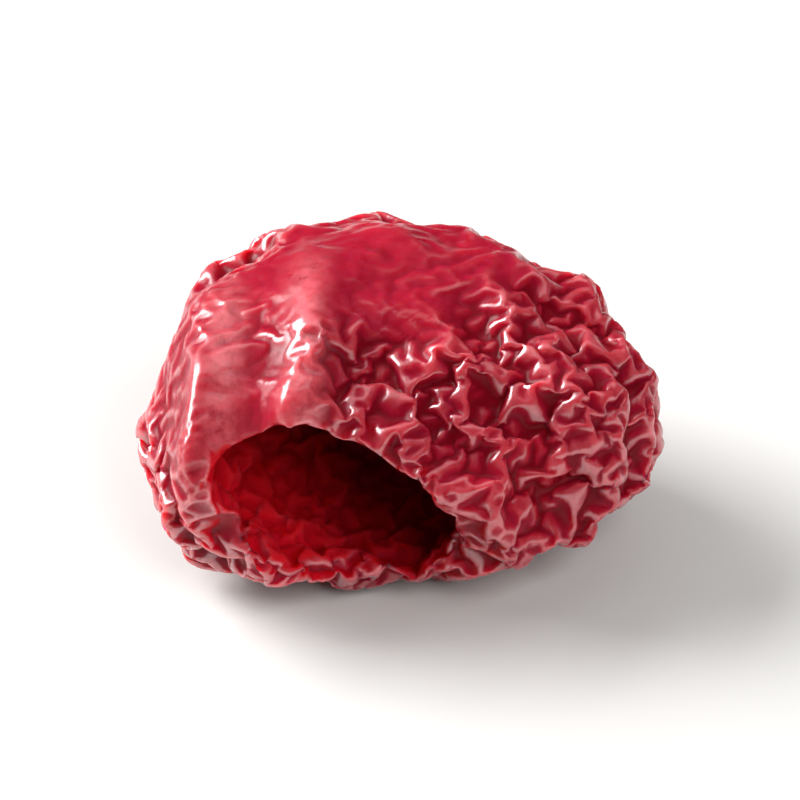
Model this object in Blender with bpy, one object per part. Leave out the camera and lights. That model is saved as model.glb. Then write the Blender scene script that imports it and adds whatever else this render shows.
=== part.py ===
"""One dried, sliced cranberry, lying as it would on a table.

The berry was cut open, soaked in syrup and dried. Its flesh shrank and its tough skin, too large for
it now, went into folds. The cut side is the hollow at the front, half closed by the skin that curled
over it like a hood.

Metres, +Z up. The origin is on the table, under the middle of the berry. +X is to the right of
someone who looks into the hollow, and -Y is towards them.
"""

import math

import bmesh
import bpy
import numpy as np
from mathutils import Euler, Matrix, Vector, noise

MM = 0.001

# The berry before it went into folds: an egg with its big end at -X.
LENGTH = 14.1 * MM
DEPTH = 11.6 * MM
HEIGHT = 8.8 * MM
TAPER = 0.10

# The hollow on the cut side: an egg-shaped room that is wider inside than at its mouth.
HOLLOW_SIZE = (7.3 * MM, 7.0 * MM, 4.2 * MM)
HOLLOW_CENTRE = (-1.4 * MM, -3.2 * MM, 4.1 * MM)
HOLLOW_TURN = (math.radians(-14), math.radians(20), math.radians(-8))

# The skin is thickest in a lip round the mouth. The lip's place is counted from the middle of the
# hollow, with 1 at its wall.
LIP_RISE = 0.35 * MM
LIP_PLACE = 1.25
LIP_WIDTH = 0.2

# Two ridges stand side by side on the left shoulder and run back from the lip: where each one stands,
# and how far back it goes. Behind them the top of the berry stayed smoother than its sides.
RIDGES = ((-4.9 * MM, 1.0 * MM), (-2.6 * MM, -0.4 * MM))
RIDGE_WIDTH = 0.60 * MM
RIDGE_RISE = 0.70 * MM
RIDGE_END = 2.0 * MM
TOP = (-0.6 * MM, 1.2 * MM, 8.6 * MM)
TOP_START = 4.0 * MM
TOP_MIDDLE = 1.8 * MM
TOP_RELIEF = 0.5

# Everywhere else the skin sank in dishes between long crests, large ones and small ones between them.
# On the right the crests slant down towards the table, and elsewhere they go up over the berry.
SLANT = Vector((0.8, -0.3, -0.5)).normalized()
SLANT_STRETCH = 2.5
OVER = Vector((0.3, 0.6, 0.74)).normalized()
OVER_STRETCH = 1.5
FOLD_SPACING = 1.8 * MM
FOLD_RISE = 0.42 * MM
CREASE_SPACING = 1.3 * MM
CREASE_RISE = 0.40 * MM
CREASE_STRETCH = 1.6
DISH_REACH = 0.75
DISH_CURVE = 1.7
HALF_WAY = 0.35

# The deep end of the hollow, in the middle of the flesh, kept its form.
STILL_MIDDLE = 0.4

# The folds don't run straight, and the whole berry is a little lumpy.
SWAY_SPACING = 8.0 * MM
SWAY = 0.35 * MM
LUMP_SPACING = 9.0 * MM
LUMP_RISE = 0.14 * MM

# Both ends bend forward, because the skin curled round the cut.
CURL = 2.0 * MM
CURL_MIDDLE = 0.7 * MM

# The berry flattened where it lay, and its crests are rounded.
FLAT = 0.40 * MM
GRID = 0.14 * MM
RIM_ROUNDING = 10
CREST_ROUNDING = 5
TRIANGLES = 11500

CRIMSON = (0.30, 0.006, 0.02, 1.0)
ROUGHNESS = 0.35


def egg(name, size, centre, turn, taper=0.0):
    """A ball stretched to a size, narrowed towards +X, turned and put in its place."""
    bm = bmesh.new()
    bmesh.ops.create_icosphere(bm, subdivisions=6, radius=0.5)
    for v in bm.verts:
        v.co.y *= 1 - 2 * taper * v.co.x
        v.co.z *= 1 - 2 * taper * v.co.x
    place = Matrix.Translation(centre) @ Euler(turn).to_matrix().to_4x4() @ Matrix.Diagonal((*size, 1))
    bmesh.ops.transform(bm, matrix=place, verts=bm.verts)
    mesh = bpy.data.meshes.new(name)
    bm.to_mesh(mesh)
    bm.free()
    made = bpy.data.objects.new(name, mesh)
    bpy.context.scene.collection.objects.link(made)
    return made


def hollowed(berry, hollow):
    """Cuts the hollow out, on an even grid of small faces, with the edge of its mouth rounded."""
    cut = berry.modifiers.new("hollow", "BOOLEAN")
    cut.object = hollow
    cut.operation = "DIFFERENCE"
    grid = berry.modifiers.new("grid", "REMESH")
    grid.mode = "VOXEL"
    grid.voxel_size = GRID
    rounding = berry.modifiers.new("rim", "SMOOTH")
    rounding.iterations = RIM_ROUNDING
    bpy.context.view_layer.update()
    graph = bpy.context.evaluated_depsgraph_get()
    mesh = bpy.data.meshes.new_from_object(berry.evaluated_get(graph))
    berry.modifiers.clear()
    berry.data = mesh
    return mesh


def wave_field(points, spacing, seed, waves=60):
    """A smooth random field, mostly from -1 to 1, whose rises and falls are about one spacing apart."""
    draw = np.random.default_rng(seed)
    headings = draw.normal(size=(waves, 3))
    headings /= np.linalg.norm(headings, axis=1)[:, None]
    phases = draw.uniform(0, 2 * math.pi, waves)
    return np.cos(points @ headings.T * (2 * math.pi / spacing) + phases).sum(axis=1) / math.sqrt(waves)


def dished(points, spacing, along, stretch):
    """Dishes with crests between them, drawn out along one way: 0 in the dishes, up to 1 on the crests."""
    along = np.array(along)
    lengthwise = (points @ along)[:, None] * along
    places = (points - lengthwise * (1 - 1 / stretch)) / spacing
    from_dish = np.array([noise.voronoi(Vector(place))[0][0] for place in places])
    return (from_dish / DISH_REACH) ** DISH_CURVE


def eased(value, start, end):
    """From 0 before the start to 1 past the end, without a corner."""
    t = np.clip((value - start) / (end - start), 0, 1)
    return t * t * (3 - 2 * t)


def fold_skin(mesh):
    """Moves each point in or out, so that both sides of the thin hood fold together."""
    points = np.empty(len(mesh.vertices) * 3, np.float32)
    mesh.vertices.foreach_get("co", points)
    points = points.reshape(-1, 3).astype(float)
    half = np.array((LENGTH, DEPTH, HEIGHT)) / 2
    from_middle = (points - (0, 0, HEIGHT / 2)) / half
    reach = np.linalg.norm(from_middle, axis=1)
    outward = from_middle / half
    outward /= np.linalg.norm(outward, axis=1)[:, None]
    in_hollow = (points - HOLLOW_CENTRE) @ np.array(Euler(HOLLOW_TURN).to_matrix())
    from_hollow = np.linalg.norm(in_hollow / (np.array(HOLLOW_SIZE) / 2), axis=1)

    sway = np.stack([wave_field(points, SWAY_SPACING, seed) for seed in (10, 11, 12)], axis=1)
    swayed = points + SWAY * sway
    x, y, z = swayed.T
    shoulder = eased(x, 1 * MM, -1 * MM) * eased(y, 3.5 * MM, 0) * eased(z, 3 * MM, 6 * MM)
    right = eased(x, -1 * MM, 1.5 * MM)
    skin = eased(reach, 0.6, 0.95)
    top = eased(np.linalg.norm(points - TOP, axis=1), TOP_START, TOP_MIDDLE)

    ridges = sum(
        np.exp(-(((x - place) / RIDGE_WIDTH) ** 2)) * eased(y, end + RIDGE_END, end - RIDGE_END)
        for place, end in RIDGES
    )
    over = dished(swayed, FOLD_SPACING, OVER, OVER_STRETCH)
    slanted = dished(swayed, FOLD_SPACING, SLANT, SLANT_STRETCH)
    folds = slanted * right + over * (1 - right)
    creases = dished(swayed, CREASE_SPACING, SLANT, CREASE_STRETCH)
    relief = FOLD_RISE * (folds - HALF_WAY) * (1 - shoulder) * (0.4 + 0.6 * skin)
    relief += CREASE_RISE * (creases - HALF_WAY) * (1 - 0.3 * shoulder) * (0.3 + 0.7 * skin)
    lip = np.exp(-(((from_hollow - LIP_PLACE) / LIP_WIDTH) ** 2)) * eased(reach, 0.8, 0.95)
    rise = LUMP_RISE * wave_field(points, LUMP_SPACING, 3) + LIP_RISE * lip
    rise += RIDGE_RISE * ridges * shoulder * (0.4 + 0.6 * skin)
    rise += relief * (1 - (1 - TOP_RELIEF) * top)
    points += outward * (rise * eased(reach, 0, STILL_MIDDLE))[:, None]

    points[:, 1] -= CURL * ((points[:, 0] - CURL_MIDDLE) / (LENGTH / 2)) ** 2
    points[:, :2] -= (points[:, :2].max(axis=0) + points[:, :2].min(axis=0)) / 2
    points[:, 2] = np.maximum(points[:, 2] - FLAT, 0)
    mesh.vertices.foreach_set("co", points.astype(np.float32).ravel())
    mesh.update()


def skin_material():
    material = bpy.data.materials.new("cranberry")
    material.use_nodes = True
    shader = material.node_tree.nodes["Principled BSDF"]
    shader.inputs["Base Color"].default_value = CRIMSON
    shader.inputs["Roughness"].default_value = ROUGHNESS
    shader.inputs["Metallic"].default_value = 0
    return material


def main():
    for old in list(bpy.data.objects):
        bpy.data.objects.remove(old)
    berry = egg("cranberry", (LENGTH, DEPTH, HEIGHT), (0, 0, HEIGHT / 2), (0, 0, 0), TAPER)
    hollow = egg("hollow_cutter", HOLLOW_SIZE, HOLLOW_CENTRE, HOLLOW_TURN)
    hollow.hide_render = True
    hollow.display_type = "WIRE"
    mesh = hollowed(berry, hollow)
    bpy.data.objects.remove(hollow)
    fold_skin(mesh)
    mesh.materials.append(skin_material())
    mesh.shade_smooth()
    rounding = berry.modifiers.new("crests", "SMOOTH")
    rounding.iterations = CREST_ROUNDING
    mesh.calc_loop_triangles()
    fewer = berry.modifiers.new("fewer_faces", "DECIMATE")
    fewer.ratio = TRIANGLES / len(mesh.loop_triangles)


main()
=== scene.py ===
import math

import bpy
import numpy as np
from mathutils import Euler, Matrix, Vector


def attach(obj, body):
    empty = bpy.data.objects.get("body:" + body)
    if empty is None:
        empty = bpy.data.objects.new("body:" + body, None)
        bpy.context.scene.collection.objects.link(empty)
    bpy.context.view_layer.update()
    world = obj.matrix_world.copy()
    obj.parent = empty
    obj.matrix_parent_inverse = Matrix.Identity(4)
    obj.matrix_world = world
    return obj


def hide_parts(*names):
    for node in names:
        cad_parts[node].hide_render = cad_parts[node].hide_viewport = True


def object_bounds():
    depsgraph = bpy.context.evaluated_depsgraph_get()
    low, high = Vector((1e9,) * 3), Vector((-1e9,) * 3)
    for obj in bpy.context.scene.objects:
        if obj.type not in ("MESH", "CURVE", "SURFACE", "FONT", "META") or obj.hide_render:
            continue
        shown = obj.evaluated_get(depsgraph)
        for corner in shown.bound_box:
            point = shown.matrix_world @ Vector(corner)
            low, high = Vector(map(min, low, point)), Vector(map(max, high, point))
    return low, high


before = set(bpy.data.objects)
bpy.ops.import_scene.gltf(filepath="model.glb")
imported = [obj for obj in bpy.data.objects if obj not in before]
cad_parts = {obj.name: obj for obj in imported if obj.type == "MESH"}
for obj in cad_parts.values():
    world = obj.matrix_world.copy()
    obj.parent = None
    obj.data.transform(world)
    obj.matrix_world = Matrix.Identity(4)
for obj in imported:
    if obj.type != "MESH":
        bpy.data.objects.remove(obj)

solid_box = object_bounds()

# The berry's flesh. A cranberry was cut open, soaked in syrup and dried: the flesh shrank to this form,
# with a hollow on its cut side. It is a copy of the solid, its loose triangles joined, laid out again
# in faces of one size, and sunk a little to leave room for the folds of the skin.
MM = 0.001
GROWN_UP = 100  # the cloth is worked at a hundred times its size, where its settings are everyday ones
SAME_PLACE = 0.001
FLESH_FACE = 0.22
FLESH_EVENING = 5
FACE_SHIFT = 0.35  # of a face, sideways, so that the folds don't follow a grid
FLESH_SINK = 0.10
SINK_FROM = (0.1, 0.8)  # heights above the table


def points_of(piece):
    """The places of a piece's vertices, in mm."""
    flat = np.empty(len(piece.data.vertices) * 3, np.float32)
    piece.data.vertices.foreach_get("co", flat)
    return flat.reshape(-1, 3).astype(float) / MM


def normals_of(piece):
    flat = np.empty(len(piece.data.vertices) * 3, np.float32)
    piece.data.vertices.foreach_get("normal", flat)
    return flat.reshape(-1, 3).astype(float)


def put_points(piece, points):
    piece.data.vertices.foreach_set("co", (points * MM).astype(np.float32).ravel())
    piece.data.update()


def finish_with(piece, kind, **settings):
    """Adds a modifier to the piece that is selected, and applies it."""
    modifier = piece.modifiers.new(kind.lower(), kind)
    for name, value in settings.items():
        setattr(modifier, name, value)
    bpy.ops.object.modifier_apply(modifier=modifier.name)


def eased(value, start, end):
    """From 0 before the start to 1 past the end, without a corner."""
    t = np.clip((value - start) / (end - start), 0, 1)
    return t * t * (3 - 2 * t)


bpy.ops.object.select_all(action="DESELECT")
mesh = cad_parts["cranberry"].data.copy()
mesh.name = "wrinkled_cranberry"
mesh.materials.clear()
berry = bpy.data.objects.new("wrinkled_cranberry", mesh)
bpy.context.scene.collection.objects.link(berry)
berry.select_set(True)
bpy.context.view_layer.objects.active = berry
bpy.ops.object.mode_set(mode="EDIT")
bpy.ops.mesh.select_all(action="SELECT")
bpy.ops.mesh.remove_doubles(threshold=SAME_PLACE * MM)
bpy.ops.mesh.customdata_custom_splitnormals_clear()
bpy.ops.object.mode_set(mode="OBJECT")

put_points(berry, points_of(berry) * GROWN_UP)
finish_with(berry, "REMESH", mode="VOXEL", voxel_size=FLESH_FACE * MM * GROWN_UP)
finish_with(berry, "SMOOTH", iterations=FLESH_EVENING)
flesh = points_of(berry)
draw = np.random.default_rng(seed=4)
shift = draw.uniform(-FACE_SHIFT, FACE_SHIFT, flesh.shape) * FLESH_FACE * GROWN_UP
shift -= (shift * normals_of(berry)).sum(axis=1)[:, None] * normals_of(berry)
flesh += shift
above_table = eased(flesh[:, 2] / GROWN_UP, *SINK_FROM)
put_points(berry, flesh - normals_of(berry) * (FLESH_SINK * GROWN_UP * above_table)[:, None])


# The skin. It is tough and did not shrink with the flesh, so there is too much of it, and it buckled
# while the flesh held it: in folds, then in wrinkles between them, then in a fine crepe. The top, the
# left shoulder and a few patches stayed calm. Where the berry lies, the table holds the skin.
CALM_TOP = (-0.2, 1.1, 8.5)
CALM_TOP_EDGE = (4.8, 2.6)  # distances from its middle
SHOULDER_RIGHT = (-0.8, -3.2)
SHOULDER_BACK = (3, 0)
SHOULDER_FOOT = (3.5, 5.5)
PATCH_EDGE = (0.1, 1.0)
CALMING = 20
FOOT = (0.15, 0.9)


def patches(points, spacing, seed, waves=40):
    """A smooth random field over the berry, mostly from -1 to 1, its patches about one spacing apart."""
    draw = np.random.default_rng(seed)
    headings = draw.normal(size=(waves, 3))
    headings /= np.linalg.norm(headings, axis=1)[:, None]
    phases = draw.uniform(0, 2 * math.pi, waves)
    return np.cos(points @ headings.T * (2 * math.pi / spacing) + phases).sum(axis=1) / math.sqrt(waves)


def calmness(piece, on_top, on_shoulder, in_patches=0.0, spacing=4.5, seed=5):
    """0 where the skin has too much width and 1 where it fits the flesh."""
    points = points_of(piece) / GROWN_UP
    x, y, z = points.T
    top = eased(np.linalg.norm(points - CALM_TOP, axis=1), *CALM_TOP_EDGE)
    shoulder = eased(x, *SHOULDER_RIGHT) * eased(y, *SHOULDER_BACK) * eased(z, *SHOULDER_FOOT)
    patch = eased(patches(points, spacing, seed), *PATCH_EDGE)
    return np.clip(on_top * top + on_shoulder * shoulder + in_patches * patch, 0, 1)


def weigh(piece, group, weights):
    made = piece.vertex_groups.get(group) or piece.vertex_groups.new(name=group)
    for index, weight in enumerate(weights):
        made.add([index], float(weight), "REPLACE")


def buckle(piece, calm, extra, hold, bending, bending_calm, frames):
    """Lets the skin grow by a share of its width while the flesh holds it back by its weight."""
    weigh(piece, "calm", calm)
    above_foot = eased(points_of(piece)[:, 2] / GROWN_UP, *FOOT)
    weigh(piece, "flesh", hold + (1 - hold) * (1 - above_foot))
    skin = piece.modifiers.new("skin", "CLOTH")
    cloth = skin.settings
    cloth.quality = 5
    cloth.mass = 0.3
    cloth.tension_stiffness = cloth.compression_stiffness = 40
    cloth.shear_stiffness = 13
    cloth.bending_stiffness = bending
    cloth.bending_stiffness_max = bending_calm
    cloth.tension_damping = cloth.compression_damping = cloth.shear_damping = 5
    cloth.bending_damping = 0.5
    cloth.air_damping = 1
    cloth.shrink_min = -extra
    cloth.shrink_max = 0
    cloth.vertex_group_shrink = "calm"
    cloth.vertex_group_bending = "calm"
    cloth.vertex_group_mass = "flesh"
    cloth.pin_stiffness = 1
    cloth.effector_weights.gravity = 0
    skin.collision_settings.use_collision = False
    skin.collision_settings.use_self_collision = False
    skin.point_cache.frame_start = 1
    skin.point_cache.frame_end = frames
    bpy.context.scene.frame_start = 1
    bpy.context.scene.frame_end = frames
    for frame_number in range(1, frames + 1):
        bpy.context.scene.frame_set(frame_number)
    bpy.ops.object.modifier_apply(modifier=skin.name)
    bpy.context.scene.frame_set(1)


weigh(berry, "calm", calmness(berry, on_top=1.0, on_shoulder=0.7))
finish_with(berry, "SMOOTH", iterations=CALMING, vertex_group="calm")
calm = calmness(berry, on_top=1.0, on_shoulder=1.0, in_patches=0.4)
buckle(berry, calm, extra=0.065, hold=0.2, bending=15, bending_calm=30, frames=16)
finish_with(berry, "SUBSURF", levels=1, render_levels=1)
calm = calmness(berry, on_top=0.95, on_shoulder=0.9, in_patches=0.4, seed=8)
buckle(berry, calm, extra=0.135, hold=0.32, bending=27, bending_calm=40, frames=12)
calm = calmness(berry, on_top=0.8, on_shoulder=0.6, in_patches=0.4, spacing=3.5, seed=6)
buckle(berry, calm, extra=0.06, hold=0.4, bending=10, bending_calm=10, frames=4)

# The skin fills the box of the solid, and nothing of it reaches below the table.
skin = points_of(berry) / GROWN_UP
lowest, highest = np.array(solid_box) / MM
skin *= (highest - lowest) / (skin.max(axis=0) - skin.min(axis=0))
skin[:, :2] += (lowest + highest)[:2] / 2 - (skin.min(axis=0) + skin.max(axis=0))[:2] / 2
skin[:, 2] = np.maximum(skin[:, 2], 0)
put_points(berry, skin)
berry.vertex_groups.clear()
bpy.ops.object.shade_smooth()


# What the skin looks like: deep crimson and a little see-through. Painted shade darkens the valleys, the
# fine creases and the deep end of the hollow. The crests and the two ridges of the shoulder are pinker,
# partly as paler, stretched skin and partly as painted highlight; the fold tops and the lip of the hollow
# carry only a painted highlight. The cut flesh in the hollow is a brighter red that paints the glow of
# light through its thin wall. The berries get a little oil against sticking, which gives the crests and
# ridges their gleam.
HOLLOW_SIZE = (7.3, 7.0, 4.2)
HOLLOW_CENTRE = (-1.4, -2.8, 3.7)
HOLLOW_TURN = (math.radians(-14), math.radians(20), math.radians(-8))
CURL = 2.0  # how far the berry's ends bend forward
CURL_MIDDLE = 0.6
CURL_REACH = 7.0
WALL_END = (1.6, 1.25)  # distances from the middle of the hollow, with 1 where it was cut
WALL_FACING = (-0.3, 0.6)
LIP_END = (1.35, 1.1)
CORE_START = (-3.6, -0.4)
RIDGES = (-4.9, -2.6)
RIDGE_WIDTH = 0.5
RIDGE_BACK = (2, 0)
RIDGE_FOOT = (3, 5)
CREST_GROUND = 12  # rounds of levelling that make the ground under crests, and under whole folds
FOLD_GROUND = 80


def heights(piece, rounds):
    """How far each point stands above the ground that its neighbours make, in mm."""
    points = points_of(piece)
    ends = np.empty(len(piece.data.edges) * 2, np.int32)
    piece.data.edges.foreach_get("vertices", ends)
    a, b = ends.reshape(-1, 2).T
    count = np.bincount(a, minlength=len(points)) + np.bincount(b, minlength=len(points))
    ground = points
    for _ in range(rounds):
        total = [
            np.bincount(a, ground[b, k], len(points)) + np.bincount(b, ground[a, k], len(points))
            for k in range(3)
        ]
        ground = 0.5 * ground + 0.5 * np.stack(total, axis=1) / count[:, None]
    return ((points - ground) * normals_of(piece)).sum(axis=1)


def keep(piece, name, values):
    attribute = piece.data.attributes.new(name, "FLOAT", "POINT")
    attribute.data.foreach_set("value", values.astype(np.float32))


uncurled = skin + np.outer(CURL * ((skin[:, 0] - CURL_MIDDLE) / CURL_REACH) ** 2, (0, 1, 0))
in_hollow = (uncurled - HOLLOW_CENTRE) @ np.array(Euler(HOLLOW_TURN).to_matrix())
from_hollow = np.linalg.norm(in_hollow / (np.array(HOLLOW_SIZE) / 2), axis=1)
facing = ((HOLLOW_CENTRE - uncurled) * normals_of(berry)).sum(axis=1)
wall = eased(from_hollow, *WALL_END) * eased(facing, *WALL_FACING)
shoulder = eased(uncurled[:, 1], *RIDGE_BACK) * eased(skin[:, 2], *RIDGE_FOOT) * (1 - wall)
ridges = sum(np.exp(-(((skin[:, 0] - middle) / RIDGE_WIDTH) ** 2)) for middle in RIDGES)
keep(berry, "crest", heights(berry, CREST_GROUND))
keep(berry, "fold", heights(berry, FOLD_GROUND))
keep(berry, "inside", wall)
# core: the deep end of the hollow, where painted shade darkens the skin.
keep(berry, "core", wall * eased(uncurled[:, 0], *CORE_START))
# lip: the rim around the hollow's mouth, where a painted highlight lies.
keep(berry, "lip", (1 - wall) * eased(from_hollow, *LIP_END))
# ridge: the shoulder's two ridges, whose skin is paler and also carries a painted highlight.
keep(berry, "ridge", ridges * shoulder)


class Wire:
    """One socket of a material, so that an expression on wires adds its Math nodes."""

    def __init__(self, tree, socket=None):
        self.tree = tree
        self.socket = socket

    def node(self, kind, settings=None, output=0, **values):
        """Adds a node, sets it up, then gives its sockets, by name or as i0, i1, their values or wires."""
        made = self.tree.nodes.new(kind)
        for name, value in (settings or {}).items():
            setattr(made, name, value)
        for name, value in values.items():
            key = int(name[1:]) if name[0] == "i" and name[1:].isdigit() else name.replace("_", " ")
            if isinstance(value, Wire):
                self.tree.links.new(value.socket, made.inputs[key])
            else:
                made.inputs[key].default_value = value
        return Wire(self.tree, made.outputs[output])

    def attribute(self, name):
        return self.node("ShaderNodeAttribute", {"attribute_name": name}, output=2)

    def maths(self, operation, first, second, clamp=False):
        settings = {"operation": operation, "use_clamp": clamp}
        return self.node("ShaderNodeMath", settings, i0=first, i1=second)

    def clamped(self, low, high):
        """0 where this is low, 1 where it is high."""
        settings = {"interpolation_type": "SMOOTHSTEP"}
        return self.node("ShaderNodeMapRange", settings, i0=self, i1=low, i2=high, i3=0.0, i4=1.0)

    def mixed(self, first, second):
        """The first colour where this is 0 and the second where it is 1."""
        settings = {"data_type": "RGBA"}
        return self.node("ShaderNodeMix", settings, output=2, i0=self, i6=first, i7=second)

    def feed(self, shader, name):
        self.tree.links.new(self.socket, shader.inputs[name])

    def __add__(self, other):
        return self.maths("ADD", self, other)

    def __sub__(self, other):
        return self.maths("SUBTRACT", self, other)

    def __rsub__(self, other):
        return self.maths("SUBTRACT", other, self)

    def __mul__(self, other):
        return self.maths("MULTIPLY", self, other)

    def __neg__(self):
        return self.maths("SUBTRACT", 0.0, self)

    __radd__ = __add__
    __rmul__ = __mul__


# Painted shade: the dark red put into the valleys, the fine creases and the deep end of the hollow.
PAINTED_SHADE_RED = (0.16, 0.0010, 0.0045, 1)
CRIMSON = (0.24, 0.0040, 0.0175, 1)
BRIGHT = (0.31, 0.0075, 0.0230, 1)
# Pink that is partly paler, stretched skin and partly painted highlight.
ROSE_PALE_AND_HIGHLIGHT = (0.62, 0.115, 0.14, 1)
# The cut flesh's own red, made brighter to paint the glow of light through the hollow's thin wall.
HOLLOW_RED_AND_GLOW = (0.42, 0.0020, 0.0070, 1)
VALLEY_DEPTH = 0.16
CREASE_DEPTH = 0.05
# How strongly painted shade darkens the valleys between folds and the fine creases.
VALLEY_PAINTED_SHADE = 0.6
CREASE_PAINTED_SHADE = 0.25
# How far the crests and the shoulder's two ridges turn pink: partly paler skin, partly painted highlight.
CREST_PALE_AND_HIGHLIGHT = 0.2
# Painted highlight on the fold tops and on the lip of the hollow.
FOLD_HIGHLIGHT = 0.2
LIP_HIGHLIGHT = 0.1
RIDGE_PALE_AND_HIGHLIGHT = 0.7
HOLLOW_SHARE = 0.85
# How strongly painted shade darkens the deep end of the hollow.
CORE_PAINTED_SHADE = 0.55
GRAIN_DEPTH = 0.04
CREPE_DEPTH = 0.10
SEEN_INTO = 1.6
BLOTCHES, MOTTLES, GRAINS, CREPES = 420.0, 2200.0, 9000.0, 1500.0  # to a metre

skin_material = bpy.data.materials.new("cranberry_skin")
skin_material.use_nodes = True
shader = skin_material.node_tree.nodes["Principled BSDF"]
wire = Wire(skin_material.node_tree)
place = wire.node("ShaderNodeTexCoord", output=3)
crest, fold, inside, core, lip, ridge = (
    wire.attribute(name) for name in ("crest", "fold", "inside", "core", "lip", "ridge")
)
blotches = wire.node("ShaderNodeTexNoise", Vector=place, Scale=BLOTCHES, Detail=4.0, Roughness=0.55)
mottle = wire.node("ShaderNodeTexNoise", Vector=place, Scale=MOTTLES, Detail=5.0, Roughness=0.65)
grain = wire.node("ShaderNodeTexNoise", Vector=place, Scale=GRAINS, Detail=3.0, Roughness=0.6)
ridged = {"noise_type": "RIDGED_MULTIFRACTAL"}
crepe = wire.node("ShaderNodeTexNoise", ridged, Vector=place, Scale=CREPES, Detail=3.0, Roughness=0.6)
valley = (-fold).clamped(0.0, VALLEY_DEPTH)
crease = (-crest).clamped(0.0, CREASE_DEPTH)

colour = blotches.clamped(0.38, 0.68).mixed(CRIMSON, BRIGHT)
# Painted shade: the valleys and the fine creases are darkened.
colour = (valley * VALLEY_PAINTED_SHADE + crease * CREASE_PAINTED_SHADE).mixed(colour, PAINTED_SHADE_RED)
# Crests and the shoulder's two ridges: partly paler, stretched skin and partly a painted highlight.
crest_pale_and_highlight = crest.clamped(0.01, 0.05) * mottle.clamped(0.35, 0.65) * CREST_PALE_AND_HIGHLIGHT
ridge_pale_and_highlight = ridge * mottle.clamped(0.2, 0.7) * RIDGE_PALE_AND_HIGHLIGHT
# pale: the pink of paler skin together with the painted highlights on crests, fold tops, lip and ridges.
pale = crest_pale_and_highlight + fold.clamped(0.03, 0.16) * FOLD_HIGHLIGHT + lip * LIP_HIGHLIGHT + ridge_pale_and_highlight
colour = pale.mixed(colour, ROSE_PALE_AND_HIGHLIGHT)
# The cut flesh inside the hollow: its own red, brightened by a painted glow.
colour = (inside * HOLLOW_SHARE).mixed(colour, HOLLOW_RED_AND_GLOW)
# Painted shade at the deep end of the hollow.
colour = (core * CORE_PAINTED_SHADE).mixed(colour, PAINTED_SHADE_RED)
colour.feed(shader, "Base Color")

roughness = 0.20 + mottle * 0.20 + inside * 0.1
roughness.feed(shader, "Roughness")
oil = wire.maths("ADD", crest.clamped(0.0, 0.05), ridge * 0.8, clamp=True)
oil = oil * (1.0 - valley) * (1.0 - inside)
oil.feed(shader, "Coat Weight")
uneven = mottle * 0.7 + grain * 0.3
skin_grain = wire.node("ShaderNodeBump", Strength=0.6, Distance=GRAIN_DEPTH * MM, Height=uneven)
skin_crepe = wire.node(
    "ShaderNodeBump", Strength=1.0, Distance=CREPE_DEPTH * MM, Height=crepe, Normal=skin_grain
)
skin_crepe.feed(shader, "Normal")
shader.inputs["Subsurface Weight"].default_value = 0.9
shader.inputs["Subsurface Radius"].default_value = (1.0, 0.08, 0.08)
shader.inputs["Subsurface Scale"].default_value = SEEN_INTO * MM
shader.inputs["Specular IOR Level"].default_value = 0.12
shader.inputs["Coat Roughness"].default_value = 0.25
shader.inputs["Coat IOR"].default_value = 2.1
berry.data.materials.append(skin_material)
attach(berry, "root")
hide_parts("cranberry")


# The table: a plain pale sheet, matt and a little warm, large enough to fill the view. It is flat and
# isn't part of the berry, which lies on it.
TABLE_SIZE = 3
TABLE_COLOUR = (0.58, 0.571, 0.557, 1)

bpy.ops.object.select_all(action="DESELECT")
bpy.ops.mesh.primitive_plane_add(size=TABLE_SIZE)
table = bpy.context.object
table.name = "table"
pale_sheet = bpy.data.materials.new("pale")
pale_sheet.use_nodes = True
paint = pale_sheet.node_tree.nodes["Principled BSDF"]
paint.inputs["Base Color"].default_value = TABLE_COLOUR
paint.inputs["Roughness"].default_value = 0.7
table.data.materials.append(pale_sheet)


# Soft light from the upper left and a little behind, as from a window, some from the ceiling, and a
# weak one from the right that brightens the skin but doesn't mirror in its oil. The room is dim.
BERRY_MIDDLE = Vector((0, 0, 0.004))
ROOM_LIGHT = 0.04


def soft_light(name, place, size, power):
    bpy.ops.object.light_add(type="AREA", location=place)
    lamp = bpy.context.object
    lamp.name = name
    lamp.data.size = size
    lamp.data.energy = power
    to_berry = BERRY_MIDDLE - Vector(place)
    lamp.rotation_euler = to_berry.to_track_quat("-Z", "Y").to_euler()
    return lamp


soft_light("window", (-0.24, 0.09, 0.185), size=0.22, power=2.5)
soft_light("ceiling", (0.00, 0.12, 0.45), size=0.50, power=0.6)
fill = soft_light("fill", (0.14, -0.20, 0.22), size=0.20, power=1.0)
fill.visible_glossy = False
room = bpy.data.worlds.new("room")
room.use_nodes = True
room.node_tree.nodes["Background"].inputs["Color"].default_value = (1, 1, 1, 1)
room.node_tree.nodes["Background"].inputs["Strength"].default_value = ROOM_LIGHT
bpy.context.scene.world = room


# The camera looks down at the berry, as in the photograph, into its hollow. It stands near, and its
# long lens makes the berry large in the view.
CAMERA_DISTANCE = 0.13
CAMERA_DOWN = math.radians(35)
CAMERA_LENS = 205

from_berry = Vector((0, -math.cos(CAMERA_DOWN), math.sin(CAMERA_DOWN)))
bpy.ops.object.camera_add(location=BERRY_MIDDLE + from_berry * CAMERA_DISTANCE)
camera = bpy.context.object
camera.rotation_euler = (-from_berry).to_track_quat("-Z", "Y").to_euler()
camera.data.lens = CAMERA_LENS
camera.data.clip_start = MM
bpy.context.scene.camera = camera
bpy.context.scene.view_settings.view_transform = "Standard"
bpy.context.scene.cycles.use_denoising = True
